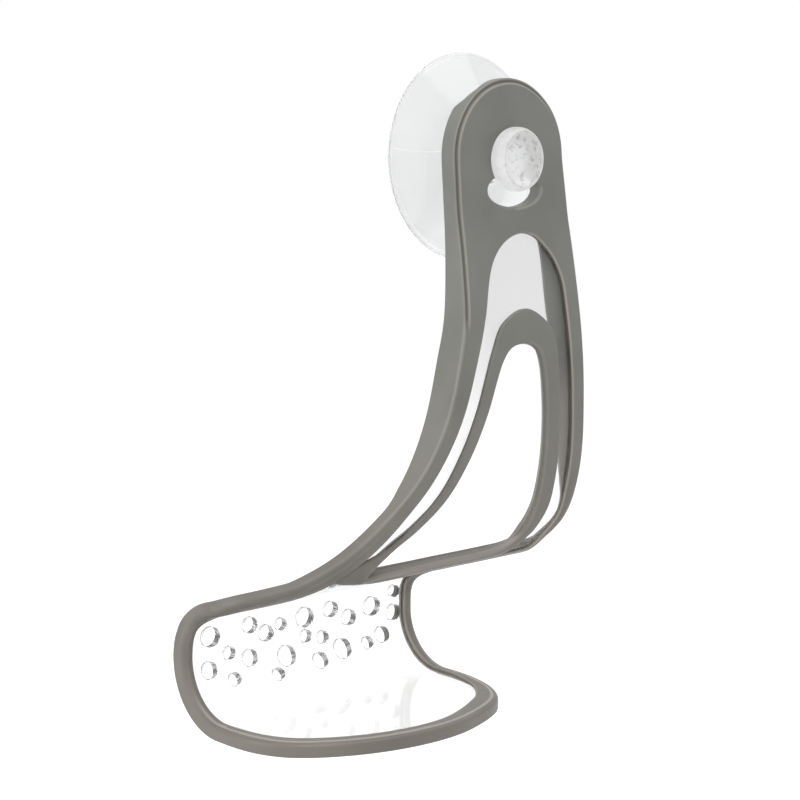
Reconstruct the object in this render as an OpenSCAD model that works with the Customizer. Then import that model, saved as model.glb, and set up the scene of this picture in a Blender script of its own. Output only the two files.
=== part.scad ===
// Sponge holder: a clear one-piece bracket with a soft grey overmoulded edge, hung on a suction cup.
// Millimetres. The origin is the centre of the cup's rim on the wall, +X is right seen from the
// front, +Y goes into the wall and +Z is up. "Forward" is the distance out from the wall, along -Y.

/* [Suction cup] */
// Diameter of the cup's rim on the wall
cup_d = 63.5; // [58:0.5:66]
// Thickness of the cup's skin
cup_skin = 2; // [1.6:0.1:2.4]
// Width of the flat land that touches the wall
rim_land = 1.2; // [0.8:0.1:2]
// Diameter of the boss at the cup's crown
boss_d = 16; // [14:0.5:18]
// Distance from the wall to the boss's front face
boss_forward = 15.2; // [14.6:0.1:15.3]
// Diameter of the neck that the holder hangs on
neck_d = 8.5; // [7.5:0.1:9]
// Diameter of the stud's foot in the boss
foot_d = 10; // [9.5:0.1:11]
// Depth of the stud's foot in the boss
foot_depth = 4.6; // [4:0.1:5]
// Diameter of the mushroom head
knob_d = 19.4; // [18:0.1:20]
// Thickness of the mushroom head
knob_t = 5.8; // [5:0.1:7]

/* [Sheet] */
// Thickness of the clear sheet
sheet_t = 2.5; // [2:0.1:3]
// Distance from the wall to the clear sheet's front face at the head
sheet_forward = 19; // [18.8:0.1:20]
// Radius of the round head about the knob
head_r = 23.5; // [22:0.5:25]
// Straight run of the sheet below the knob
head_drop = 12; // [10:0.5:14]
// Length over which the sheet starts to lean forward
lean_bend = 10; // [8:1:15]
// Straight leaning run
lean_run = 28.5; // [24:0.5:32]
// Long bend back towards the wall
sweep_run = 50; // [46:1:54]
// Straight run above the curl
low_run = 22.2; // [18:0.2:26]
// Radius of the curl at the bottom of the plate
curl_r = 5; // [4.5:0.1:6]
// Radius of the hollow's top, behind the curl
hollow_r = 5.05; // [4.5:0.05:6]
// Upright run of the tray's back wall
back_run = 7.4; // [6:0.2:10]
// Radius of the bend from the back wall into the tray
tray_bend_r = 16; // [14:0.5:18]

/* [Tray] */
// Distance from the knob's axis to the tray's left end
tray_left = 114.5; // [108:0.5:122]
// Distance from the knob's axis to the tray's right end
tray_right = 27.5; // [25:0.5:30]
// Depth of the tray in front of the bend
tray_depth = 40.8; // [36:0.5:46]
// Fillet where the tray's right end meets the plate
end_fillet = 7; // [5:0.5:8]
// Diameter of the small drain holes
drain_small = 3.6; // [3:0.1:4]
// Diameter of the middle drain holes
drain_mid = 4.7; // [4:0.1:5]
// Diameter of the big drain holes
drain_big = 5.8; // [5:0.1:6]

/* [Soft trim] */
// Width of the soft trim's face
trim_w = 5.8; // [5:0.1:6.5]
// Height of the soft trim above the sheet's front face
trim_front = 1.2; // [0.8:0.1:1.4]
// Thickness of the soft trim behind the sheet
trim_back = 0.9; // [0.6:0.1:1.2]
// Soft wall beyond the sheet's edge
edge_wall = 1.8; // [1.4:0.1:2.2]
// Thickness of the skirts on the plate's two sides
skirt_t = 2.6; // [2.3:0.1:3]
// Distance from the wall to the skirts' rear edges
skirt_forward = 14; // [13.5:0.1:14.6]
// Height of the skirts' upper ends above the knob
skirt_top = 19.5; // [16:0.5:20.5]

/* [Keyhole] */
// Clearance round the neck in the slot, on the radius
slot_gap = 0.3; // [0.2:0.05:0.4]
// Width of the oval entry that the knob goes in by
entry_w = 22; // [21:0.1:23]
// Height of the entry
entry_h = 10.2; // [9.8:0.1:10.6]
// Distance from the knob's axis to the right to the entry's middle
entry_shift = 1.5; // [0:0.1:1.8]
// Distance from the knob's axis down to the entry's middle
lift = 10; // [9.5:0.1:10.5]
// Gap between the knob and the trim's front
knob_gap = 0.6; // [0.5:0.05:0.8]

/* [Hidden] */
// Overrun of every cut
over = 1;
// Running clearance of the stud's foot in the boss
foot_gap = 0.05;
// Angles that the sheet's profile turns by, positive towards the wall
lean_angle = -6.5;
sweep_angle = 21.5;
curl_angle = 63;
lip_angle = 34;
// Largest angle and length of one facet of a bend, and points in one span of an outline
facet_angle = 7;
facet_run = lean_bend / 2;
span_steps = 4;
// Angle between two points of an outline's arc
arc_angle = 9;
radian = 180 / PI;

curl_heading = lean_angle + sweep_angle + curl_angle;

// Runs of the sheet's profile from the top down, each a length and a turn
CURL_START_RUNS = [[head_r + head_drop, 0], [lean_bend, lean_angle], [lean_run, 0],
    [sweep_run, sweep_angle], [low_run, 0]];
CURL_RUNS = concat(CURL_START_RUNS, [[curl_r * curl_angle / radian, curl_angle]]);
LIP_RUN = [hollow_r * lip_angle / radian, -lip_angle];
PLATE_RUNS = concat(CURL_RUNS, [LIP_RUN]);
HOLLOW_RUN = [hollow_r * (curl_heading - lip_angle) / radian, lip_angle - curl_heading];
BACK_RUN = [back_run, 0];
TRAY_BEND_RUN = [tray_bend_r * 90 / radian, -90];
WALL_RUNS = [HOLLOW_RUN, BACK_RUN, TRAY_BEND_RUN];
FLOOR_RUNS = [[tray_depth + over, 0]];

// A station is [forward, height, heading]: heading 0 goes straight down, positive towards the wall
function stepped(s, run, f) =
    run[1] == 0
        ? [s[0] - f * run[0] * sin(s[2]), s[1] - f * run[0] * cos(s[2]), s[2]]
        : let (r = run[0] / run[1] * radian, h = s[2] + f * run[1])
            [s[0] + r * (cos(h) - cos(s[2])), s[1] - r * (sin(h) - sin(s[2])), h];
function steps_of(run) =
    run[1] == 0 ? 1 : max(ceil(abs(run[1]) / facet_angle), ceil(run[0] / facet_run));
function walked(start, runs, i = 0) =
    i == len(runs)
        ? [start]
        : let (n = steps_of(runs[i]))
            concat([for (k = [0:n - 1]) stepped(start, runs[i], k / n)],
                walked(stepped(start, runs[i], 1), runs, i + 1));
function last(v) = v[len(v) - 1];
// Points beside the path, ahead of the sheet's front face by off
function beside(path, off) = [for (s = path) [s[0] + off * cos(s[2]), s[1] - off * sin(s[2])]];
function reversed(v) = [for (i = [len(v) - 1:-1:0]) v[i]];

PLATE_PATH = walked([sheet_forward, head_r, 0], PLATE_RUNS);
WALL_PATH = walked(last(PLATE_PATH), WALL_RUNS);
FLOOR_PATH = walked(last(WALL_PATH), FLOOR_RUNS);
CURL_PATH = walked(PLATE_PATH[0], CURL_RUNS);
CURL_START = last(walked(PLATE_PATH[0], CURL_START_RUNS));
LIP_PATH = walked(last(CURL_PATH), [LIP_RUN]);
BACK_TOP = last(walked(last(PLATE_PATH), [HOLLOW_RUN]));
BACK_END = stepped(BACK_TOP, BACK_RUN, 1);
curl_drop = -CURL_START[1];
lip_drop = -last(PLATE_PATH)[1];
bend_forward = last(WALL_PATH)[0];
floor_drop = -last(WALL_PATH)[1];
deep = floor_drop + tray_bend_r;
knob_back = sheet_forward + trim_front + knob_gap;
front_limit = knob_back + knob_t + tray_depth;

// Edges as [across, down, trim width]: shares of tray_left, of curl_drop and of trim_w
right_edge_shares = [[0.165, 1.066, 0.35], [0.2, 1.026, 0.4], [0.239, 0.99, 0.5], [0.266, 0.958, 0.6],
    [0.288, 0.91, 0.74], [0.294, 0.85, 0.88], [0.283, 0.75, 0.92], [0.267, 0.63, 0.98],
    [0.256, 0.495, 1.05], [0.25, 0.367, 1.1], [0.24, 0.24, 1.3], [0.225, 0.11, 1.7]];
left_edge_shares = [[-0.198, 0.1, 1.9], [-0.19, 0.23, 1.8], [-0.193, 0.387, 1.35], [-0.218, 0.495, 1.2],
    [-0.258, 0.634, 1.02], [-0.314, 0.745, 0.94], [-0.382, 0.828, 0.94], [-0.465, 0.9, 0.98],
    [-0.561, 0.957, 0.9], [-0.676, 0.994, 0.72], [-0.78, 1.007, 0.56], [-0.86, 1.011, 0.54],
    [-0.918, 1.021, 0.55], [-0.957, 1.037, 0.58], [-0.982, 1.06, 0.62], [-0.995, 1.087, 0.66],
    [-1, 1.12, 0.68]];
// Arch of clear sheet under the head, from its left foot to its right foot, and where its feet begin
arch_foot_share = 0.42;
arch_shares = [[-0.116, 0.389], [-0.1, 0.325], [-0.081, 0.27], [-0.05, 0.23], [-0.008, 0.203],
    [0.043, 0.191], [0.088, 0.2], [0.125, 0.225], [0.155, 0.255], [0.175, 0.287], [0.188, 0.323],
    [0.194, 0.37]];
// Window opening and the width of its trim, anticlockwise from the lower left corner
window_shares = [[-0.43, 0.995, 1.5], [-0.36, 0.994, 0.8], [-0.204, 0.994, 0.58],
    [-0.056, 0.993, 0.58], [0.031, 0.985, 0.85], [0.09, 0.955, 1.35], [0.12, 0.895, 1.35],
    [0.126, 0.82, 1.2], [0.118, 0.7, 1.07], [0.106, 0.6, 1.1], [0.094, 0.53, 1.25], [0.074, 0.486, 1.6],
    [0.031, 0.468, 1.87], [-0.022, 0.476, 1.45], [-0.055, 0.507, 1], [-0.079, 0.555, 0.9],
    [-0.114, 0.643, 0.86], [-0.165, 0.744, 0.93], [-0.23, 0.842, 0.9], [-0.306, 0.911, 0.88],
    [-0.373, 0.957, 0.9]];
// Tray's front edge from its left end, as shares of the tray's width, tray_depth and trim_w
tray_edge_shares = [[0, 0, 0.68], [0.002, 0.19, 0.76], [0.017, 0.38, 0.84], [0.06, 0.57, 0.9],
    [0.14, 0.73, 0.9], [0.25, 0.865, 0.88], [0.37, 0.955, 0.86], [0.5, 1, 0.86], [0.62, 0.993, 0.94],
    [0.73, 0.935, 1.08], [0.825, 0.855, 1.18], [0.885, 0.77, 1.14], [0.927, 0.66, 1.04],
    [0.96, 0.53, 0.9], [0.985, 0.36, 0.8], [0.998, 0.18, 0.7], [1, 0, 0.64]];
// Drain holes: shares of the tray's width from its right end and of the wall, and which diameter
drain_shares = [[0.874, 0.094, 2], [0.8, 0.27, 0], [0.886, 0.374, 1], [0.798, 0.493, 0],
    [0.713, 0.066, 1], [0.719, 0.349, 1], [0.647, 0.17, 1], [0.584, 0.119, 0], [0.569, 0.403, 2],
    [0.625, 0.54, 0], [0.481, 0.104, 2], [0.478, 0.277, 0], [0.406, 0.318, 0], [0.439, 0.51, 1],
    [0.367, 0.083, 1], [0.332, 0.455, 2], [0.286, 0.196, 1], [0.218, 0.456, 0], [0.181, 0.141, 2],
    [0.145, 0.415, 1], [0.081, 0.241, 1], [0.078, 0.04, 0]];
// Cup's skin from the rim to the crown: shares of the rim's radius and of the crown's height
dome_shares = [[1, 0], [0.93, 0.13], [0.82, 0.34], [0.68, 0.57], [0.52, 0.78], [0.36, 0.92], [0.2, 0.98],
    [0, 1]];
// Front of the mushroom head: shares of its radius and of its thickness
knob_shares = [[0.9, 0], [0.97, 0.06], [1, 0.18], [1, 0.4], [0.96, 0.6], [0.86, 0.78], [0.68, 0.91],
    [0.4, 0.98], [0, 1]];

// Smooth curve through hand-set points
function blend_point(a, b, c, d, f) =
    0.5 * (2 * b + (c - a) * f + (2 * a - 5 * b + 4 * c - d) * f * f + (3 * b - a - 3 * c + d) * f * f * f);
function open_curve(p) =
    let (n = len(p) - 1)
        concat([for (i = [0:n - 1]) for (k = [0:span_steps - 1])
            blend_point(p[max(i - 1, 0)], p[i], p[i + 1], p[min(i + 2, n)], k / span_steps)], [p[n]]);
function closed_curve(p) =
    let (n = len(p))
        [for (i = [0:n - 1]) for (k = [0:span_steps - 1])
            blend_point(p[(i + n - 1) % n], p[i], p[(i + 1) % n], p[(i + 2) % n], k / span_steps)];
// Point i of an edge, moved inwards (to the left of its direction) by d
function left_of(v) = [-v[1], v[0]] / norm(v);
function moved_in(p, i, d) = p[i] + d * left_of(p[min(i + 1, len(p) - 1)] - p[max(i - 1, 0)]);
function round_moved_in(p, i, d) =
    p[i] + d * left_of(p[(i + 1) % len(p)] - p[(i + len(p) - 1) % len(p)]);
function plate_places(shares) = [for (s = shares) [s[0] * tray_left, -s[1] * curl_drop]];
function inset(p, d) = [for (i = [0:len(p) - 1]) moved_in(p, i, d)];
function trimmed(p, shares) = [for (i = [0:len(p) - 1]) moved_in(p, i, trim_w * shares[i][2])];

RIGHT_EDGE = plate_places(right_edge_shares);
LEFT_EDGE = plate_places(left_edge_shares);
WINDOW = plate_places(window_shares);
TRAY_W = tray_left - tray_right;
TRAY_EDGE = [for (s = tray_edge_shares) [s[0] * TRAY_W - tray_left, bend_forward + s[1] * tray_depth]];

// Extrusions: across the object, out from the wall, and up
module across() {
    translate([front_limit, 0, 0])
        rotate([90, 0, -90])
            linear_extrude(tray_left + 2 * front_limit)
                children();
}
module outwards() {
    rotate([90, 0, 0])
        linear_extrude(front_limit)
            children();
}
module upwards() {
    translate([0, 0, -deep])
        mirror([0, 1, 0])
            linear_extrude(tray_bend_r * 2)
                children();
}

// A strip of the profile, from ahead of the sheet's front face to behind it
module strip(path, ahead, behind) {
    polygon(concat(beside(path, ahead), reversed(beside(path, -behind))));
}

// The plate's outline seen from the front, inset by d
module plate_shape(d) {
    right = inset(RIGHT_EDGE, d);
    left = inset(LEFT_EDGE, d);
    head = [for (a = [0:arc_angle:180]) (head_r - d) * [cos(a), sin(a)]];
    polygon(concat([[right[0][0], -deep]], open_curve(right), head, open_curve(left),
        [[d - tray_left, -deep]]));
}

// The part of the plate that the outer trim leaves clear
module clear_plate_shape() {
    right = trimmed(RIGHT_EDGE, right_edge_shares);
    left = trimmed(LEFT_EDGE, left_edge_shares);
    arch_top = -arch_foot_share * curl_drop;
    sides = concat([for (p = right) if (p[1] < arch_top) p], reversed(plate_places(arch_shares)),
        [for (p = left) if (p[1] < arch_top) p]);
    polygon(concat([[sides[0][0], -deep]], open_curve(sides), [[last(sides)[0], -deep]]));
}

// The window's outline seen from the front, widened by grow times its trim's width, plus d
module window_shape(grow, d) {
    polygon(closed_curve([for (i = [0:len(WINDOW) - 1])
        round_moved_in(WINDOW, i, -trim_w * window_shares[i][2] * grow - d)]));
}

// The tray's back wall seen from the front, inset by d at both ends. Its left end goes on from the
// plate's left edge.
module wall_shape(d) {
    inner_x = -tray_right - d;
    corner = [inner_x + end_fillet, -lip_drop - end_fillet];
    arc = [for (a = [90:arc_angle:180]) corner + end_fillet * [cos(a), sin(a)]];
    polygon(concat(open_curve(inset(LEFT_EDGE, d)), [[d - tray_left, -deep], [inner_x, -deep]],
        reversed(arc), [[inner_x + end_fillet, 0]]));
}
module clear_wall_shape() {
    left = [for (p = trimmed(LEFT_EDGE, left_edge_shares)) if (p[1] < -curl_drop) p];
    right_x = -tray_right - trim_w * last(tray_edge_shares)[2];
    polygon(concat([[left[0][0], 0]], open_curve(left),
        [[last(left)[0], -deep], [right_x, -deep], [right_x, 0]]));
}

// The tray's floor seen from above, inset by d or by its trim's width
module floor_shape(d) {
    polygon(open_curve(inset(TRAY_EDGE, -d)));
}
module clear_floor_shape() {
    polygon(open_curve([for (i = [0:len(TRAY_EDGE) - 1])
        moved_in(TRAY_EDGE, i, -trim_w * tray_edge_shares[i][2])]));
}

// A layer that follows the sheet, from ahead of its front face to behind it. The children are its
// outlines on the plate, on the tray's back wall and on the tray's floor.
module layer(ahead, behind) {
    intersection() {
        across() strip(PLATE_PATH, ahead, behind);
        outwards() children(0);
    }
    intersection() {
        across() strip(WALL_PATH, ahead, behind);
        outwards() children(1);
    }
    intersection() {
        across() strip(FLOOR_PATH, ahead, behind);
        upwards() children(2);
    }
}

// The clear sheet without its openings
module sheet() {
    difference() {
        layer(0, sheet_t) {
            plate_shape(edge_wall);
            wall_shape(edge_wall);
            floor_shape(edge_wall);
        }
        lip_cut();
    }
}

// Sets the sheet back from the plate's lip, right of the tray, to leave room for the soft wall
module lip_cut() {
    lip = last(PLATE_PATH);
    left = end_fillet - tray_right - edge_wall;
    translate([left, -lip[0], lip[1]])
        rotate([lip[2], 0, 0])
            translate([0, -over, 0])
                cube([head_r + tray_right, sheet_t + 2 * over, edge_wall]);
}

// The keyhole: a slot round the neck and the oval entry below it
module keyhole() {
    slot_r = neck_d / 2 + slot_gap;
    circle(slot_r);
    translate([-slot_r, -lift]) square([2 * slot_r, lift]);
    translate([entry_shift, -lift])
        polygon([for (a = [arc_angle:arc_angle:360]) [entry_w * cos(a), entry_h * sin(a)] / 2]);
}

// Place of a drain hole on the wall: forward, height and heading at a distance down the wall
function on_wall(s) = s <= back_run
    ? stepped(BACK_TOP, BACK_RUN, s / back_run)
    : stepped(BACK_END, TRAY_BEND_RUN, (s - back_run) / TRAY_BEND_RUN[0]);

module drain_hole(share) {
    wall = back_run + TRAY_BEND_RUN[0];
    place = on_wall(share[1] * wall);
    d = [drain_small, drain_mid, drain_big][share[2]];
    translate([-tray_right - share[0] * TRAY_W, -place[0], place[1]])
        rotate([90 + place[2], 0, 0])
            translate([0, 0, -sheet_t - over]) cylinder(h = sheet_t + 2 * over, d = d, $fn = 48);
}

// The cup's disc with the boss on its crown and the socket of the stud's foot
module suction_cup() {
    crown = boss_forward - foot_depth;
    outer_r = cup_d / 2;
    outer = [for (s = dome_shares) [s[0] * outer_r, s[1] * crown]];
    inner = [for (s = dome_shares) [s[0] * (outer_r - rim_land), s[1] * (crown - cup_skin)]];
    color([0.9, 0.92, 0.93, 0.5]) rotate([90, 0, 0]) difference() {
        union() {
            rotate_extrude($fn = 96) polygon(concat(open_curve(outer), reversed(open_curve(inner))));
            translate([0, 0, crown - cup_skin / 2])
                cylinder(h = foot_depth + cup_skin / 2, d = boss_d, $fn = 96);
        }
        translate([0, 0, crown]) cylinder(h = foot_depth + over, d = foot_d + 2 * foot_gap, $fn = 96);
    }
}

// The stud: its foot in the boss, the neck that carries the holder and the mushroom head
module cup_stud() {
    head = [for (s = knob_shares) [s[0] * knob_d / 2, knob_back + s[1] * knob_t]];
    foot_back = boss_forward - foot_depth + foot_gap;
    color([0.9, 0.92, 0.93, 0.5]) rotate([90, 0, 0]) rotate_extrude($fn = 96)
        polygon(concat([[0, foot_back], [foot_d / 2, foot_back], [foot_d / 2, boss_forward],
            [neck_d / 2, boss_forward], [neck_d / 2, knob_back]], open_curve(head)));
}

// The clear sheet with its window, keyhole and drain holes
module clear_body() {
    color([0.93, 0.95, 0.96, 0.4]) difference() {
        sheet();
        outwards() window_shape(0, edge_wall);
        outwards() keyhole();
        for (s = drain_shares) drain_hole(s);
    }
}

// Outline of the two skirts seen from the side, from their rear edges to the trim's front
function skirt_side() =
    let (front = beside(PLATE_PATH, trim_front),
        low = [for (p = front) if (p[0] > skirt_forward && p[1] < skirt_top) p])
        concat([[skirt_forward, skirt_top + skirt_forward - sheet_forward], [front[0][0], skirt_top]],
            low, [[skirt_forward, last(low)[1]]]);

// The soft trim round the whole edge, with the head's face and the two skirts
module outer_trim() {
    color([0.49, 0.485, 0.46]) difference() {
        union() {
            layer(trim_front, sheet_t + trim_back) {
                difference() {
                    plate_shape(0);
                    clear_plate_shape();
                }
                difference() {
                    wall_shape(0);
                    clear_wall_shape();
                }
                difference() {
                    floor_shape(0);
                    clear_floor_shape();
                }
            }
            intersection() {
                across() strip(LIP_PATH, trim_front, sheet_t + trim_back);
                outwards() difference() {
                    plate_shape(0);
                    clear_wall_shape();
                }
            }
            intersection() {
                across() polygon(skirt_side());
                outwards() difference() {
                    plate_shape(0);
                    plate_shape(skirt_t);
                }
            }
        }
        sheet();
        outwards() keyhole();
    }
}

// The soft trim round the window
module window_trim() {
    color([0.49, 0.485, 0.46]) difference() {
        intersection() {
            across() strip(CURL_PATH, trim_front, sheet_t + trim_back);
            outwards() difference() {
                window_shape(1, 0);
                window_shape(0, 0);
            }
        }
        difference() {
            sheet();
            outwards() window_shape(0, edge_wall);
        }
    }
}

suction_cup();
cup_stud();
clear_body();
outer_trim();
window_trim();
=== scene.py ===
import bpy
import math
import numpy as np
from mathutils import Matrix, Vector
from mathutils.geometry import delaunay_2d_cdt

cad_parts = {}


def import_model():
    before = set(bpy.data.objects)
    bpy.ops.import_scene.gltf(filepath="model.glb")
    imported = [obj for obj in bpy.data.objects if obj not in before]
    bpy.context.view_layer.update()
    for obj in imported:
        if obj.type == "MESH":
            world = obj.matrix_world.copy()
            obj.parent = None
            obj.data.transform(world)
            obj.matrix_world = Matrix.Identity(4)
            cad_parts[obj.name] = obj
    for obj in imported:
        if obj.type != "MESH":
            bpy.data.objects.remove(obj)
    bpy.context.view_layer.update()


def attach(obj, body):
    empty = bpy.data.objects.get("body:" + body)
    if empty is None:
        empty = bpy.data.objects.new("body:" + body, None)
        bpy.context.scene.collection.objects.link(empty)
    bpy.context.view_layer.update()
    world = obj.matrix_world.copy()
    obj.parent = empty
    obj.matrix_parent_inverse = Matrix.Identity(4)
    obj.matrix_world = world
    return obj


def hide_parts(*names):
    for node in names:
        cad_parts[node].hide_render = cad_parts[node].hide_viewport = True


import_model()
MM = 0.001
RAD = math.pi / 180

# Sizes in millimetres, as in the CAD source, apart from the keyhole's entry, which follows the photo
CUP_D, CUP_SKIN, RIM_LAND, BOSS_D, BOSS_FORWARD, NECK_D = 63.5, 2.0, 1.2, 16.0, 15.2, 8.5
FOOT_DEPTH, KNOB_D, KNOB_T = 4.6, 19.4, 5.8
SHEET_T, SHEET_FORWARD, HEAD_R, HEAD_DROP = 2.5, 19.0, 23.5, 12.0
LEAN_BEND, LEAN_ANGLE, LEAN_RUN, SWEEP_RUN, SWEEP_ANGLE, LOW_RUN = 10.0, -6.5, 28.5, 50.0, 21.5, 22.2
CURL_R, CURL_ANGLE, HOLLOW_R, LIP_ANGLE, BACK_RUN, BEND_R = 5.0, 63, 5.05, 34, 7.4, 16.0
TRAY_LEFT, TRAY_RIGHT, TRAY_DEPTH, END_FILLET = 114.5, 27.5, 40.8, 7.0
DRAIN_D = (3.6, 4.7, 5.8)
TRIM_W, TRIM_FRONT, TRIM_BACK, EDGE_WALL = 5.8, 1.2, 0.9, 1.8
SKIRT_T, SKIRT_FORWARD = 2.6, 14.0
SLOT_GAP, ENTRY_W, ENTRY_H, ENTRY_SHIFT, LIFT, KNOB_GAP = 0.3, 22.6, 10.2, 2.0, 10.0, 0.6

# The trim's wall at the keyhole, how far the trims bite into the sheet, like an overmoulding, and the
# width of the trim behind the sheet, in most places and low on the right leg
KEY_WALL, BITE, BACK_W, LOW_BACK_W = 1.5, 0.02, 2.7, 1.95
# The height of the trims' faces at the sheet's front and back and of the trims' own back
FRONT_SEAT, BACK_SEAT, BACK = -BITE, BITE - SHEET_T, -(SHEET_T + TRIM_BACK)
# The right leg of the stem lies beyond this x
LEG_X = 8.0
# How far the knob hangs down, and the mould seam's turn about the cup's axis and half its width, in degrees
KNOB_SAG, SEAM_TILT, SEAM_HALF = 0.8, -4.5, 0.55
# The grids of points over the sheet lie between these x, and a line of painted shade beside an outline
# is this wide
GRID_LEFT, GRID_RIGHT, SHADE_LINE_W = -118, 40, 0.45
# How many points a test of distances takes at a time
CHUNK = 2000
# The step along outlines and the gap between the rows of points along them and the grid. A row's point is
# dropped if it is too near its outline by more than RING_SLACK, or nearer to another one, with TIE as the
# share that decides between two
OUTLINE_STEP, GRID_GAP, RING_SLACK, TIE = 0.8, 0.35, 0.03, 0.001

# Runs of the sheet's profile: length and turn in degrees, positive towards the wall. From the sixth on
# they are the curl, the hollow in two parts, the back wall, the bend and the floor
REST_ANGLE = LEAN_ANGLE + SWEEP_ANGLE + CURL_ANGLE - LIP_ANGLE
RUNS = [(HEAD_R + HEAD_DROP, 0), (LEAN_BEND, LEAN_ANGLE), (LEAN_RUN, 0), (SWEEP_RUN, SWEEP_ANGLE),
        (LOW_RUN, 0), (CURL_R * CURL_ANGLE * RAD, CURL_ANGLE), (HOLLOW_R * LIP_ANGLE * RAD, -LIP_ANGLE),
        (HOLLOW_R * REST_ANGLE * RAD, -REST_ANGLE), (BACK_RUN, 0), (BEND_R * 90 * RAD, -90),
        (TRAY_DEPTH + 1, 0)]

# Outlines seen from the front, as shares of the tray's left reach and of the drop to the curl. A third
# number is the trim's width as a share of TRIM_W. The right edge's lower end and the window follow the
# photo more closely than in the CAD source
RIGHT_EDGE = [[0.15, 1.05, 0.35], [0.19, 1.015, 0.38], [0.236, 0.988, 0.56], [0.272, 0.956, 0.7],
    [0.291, 0.912, 0.86], [0.295, 0.85, 0.95], [0.284, 0.75, 0.97], [0.267, 0.63, 1.0],
    [0.256, 0.495, 1.05], [0.25, 0.367, 1.1], [0.24, 0.24, 1.3], [0.225, 0.11, 1.7]]
LEFT_EDGE = [[-0.198, 0.1, 1.9], [-0.19, 0.23, 1.8], [-0.193, 0.387, 1.35], [-0.218, 0.495, 1.2],
    [-0.258, 0.634, 1.02], [-0.314, 0.745, 0.94], [-0.382, 0.828, 0.94], [-0.465, 0.9, 0.98],
    [-0.561, 0.957, 0.9], [-0.676, 0.994, 0.72], [-0.78, 1.007, 0.56], [-0.86, 1.011, 0.54],
    [-0.918, 1.021, 0.55], [-0.957, 1.037, 0.58], [-0.982, 1.06, 0.62], [-0.995, 1.087, 0.66],
    [-1, 1.12, 0.68]]
ARCH = [[-0.116, 0.389], [-0.1, 0.325], [-0.081, 0.27], [-0.05, 0.23], [-0.008, 0.203],
    [0.043, 0.191], [0.088, 0.2], [0.125, 0.225], [0.155, 0.255], [0.175, 0.287], [0.188, 0.323],
    [0.194, 0.37]]
# The trim's edge behind the sheet: wide on the right, so that it shows through the clear arch
RIGHT_BACK = [[0.262, 0.905], [0.245, 0.86], [0.223, 0.81], [0.195, 0.74], [0.172, 0.64], [0.161, 0.53]]
ARCH_BACK = [[-0.16, 0.42], [-0.15, 0.36], [-0.132, 0.3], [-0.1, 0.25], [-0.05, 0.205], [0, 0.185],
    [0.06, 0.178], [0.1, 0.186], [0.124, 0.206], [0.131, 0.24], [0.135, 0.3], [0.138, 0.37], [0.145, 0.44]]
# The window's outline, with the trim's width in front of the sheet and behind it
WINDOW = [[-0.46, 1.016, 2.25, 0.36], [-0.392, 1.015, 0.34, 0.34], [-0.204, 1.011, 0.34, 0.34],
    [-0.056, 1.011, 0.34, 0.34], [0.036, 1.002, 0.5, 0.42], [0.1, 0.97, 0.7, 0.6],
    [0.133, 0.908, 1.1, 0.95], [0.135, 0.83, 1.16, 1.05], [0.12, 0.7, 1.08, 1.02], [0.106, 0.6, 1.1, 1.05],
    [0.094, 0.53, 1.25, 1.15], [0.074, 0.486, 1.6, 1.1], [0.031, 0.468, 1.87, 0.7],
    [-0.022, 0.476, 1.45, 0.6], [-0.055, 0.507, 1.0, 0.5], [-0.079, 0.555, 0.9, 0.38],
    [-0.112, 0.643, 0.86, 0.32], [-0.158, 0.744, 0.8, 0.27], [-0.22, 0.842, 0.69, 0.23],
    [-0.304, 0.911, 0.52, 0.22], [-0.385, 0.957, 0.38, 0.22]]
# The tray's front edge from left to right, as shares of its length and depth, and the trim's width
TRAY_EDGE = [[0, 0, 0.68], [0.002, 0.19, 0.76], [0.017, 0.38, 0.84], [0.06, 0.57, 0.9],
    [0.14, 0.73, 0.9], [0.25, 0.865, 0.88], [0.37, 0.955, 0.86], [0.5, 1, 0.86], [0.62, 0.993, 0.94],
    [0.73, 0.935, 1.08], [0.825, 0.855, 1.18], [0.885, 0.77, 1.14], [0.927, 0.66, 1.04],
    [0.96, 0.53, 0.9], [0.985, 0.36, 0.8], [0.998, 0.18, 0.7], [1, 0, 0.64]]
# The drain holes, as shares of the tray's length from the right and of the way down its back, with the
# number of the hole's size
DRAIN = [[0.874, 0.094, 2], [0.8, 0.27, 0], [0.886, 0.374, 1], [0.798, 0.493, 0], [0.713, 0.066, 1],
    [0.719, 0.349, 1], [0.647, 0.17, 1], [0.584, 0.119, 0], [0.569, 0.403, 2], [0.625, 0.54, 0],
    [0.481, 0.104, 2], [0.478, 0.277, 0], [0.406, 0.318, 0], [0.439, 0.51, 1], [0.367, 0.083, 1],
    [0.332, 0.455, 2], [0.286, 0.196, 1], [0.218, 0.456, 0], [0.181, 0.141, 2], [0.145, 0.415, 1],
    [0.081, 0.241, 1], [0.078, 0.04, 0]]
# The cup's dome, as shares of its radius and height
DOME = [[1, 0], [0.93, 0.13], [0.82, 0.34], [0.68, 0.57], [0.52, 0.78], [0.36, 0.92], [0.2, 0.98], [0, 1]]


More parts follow.
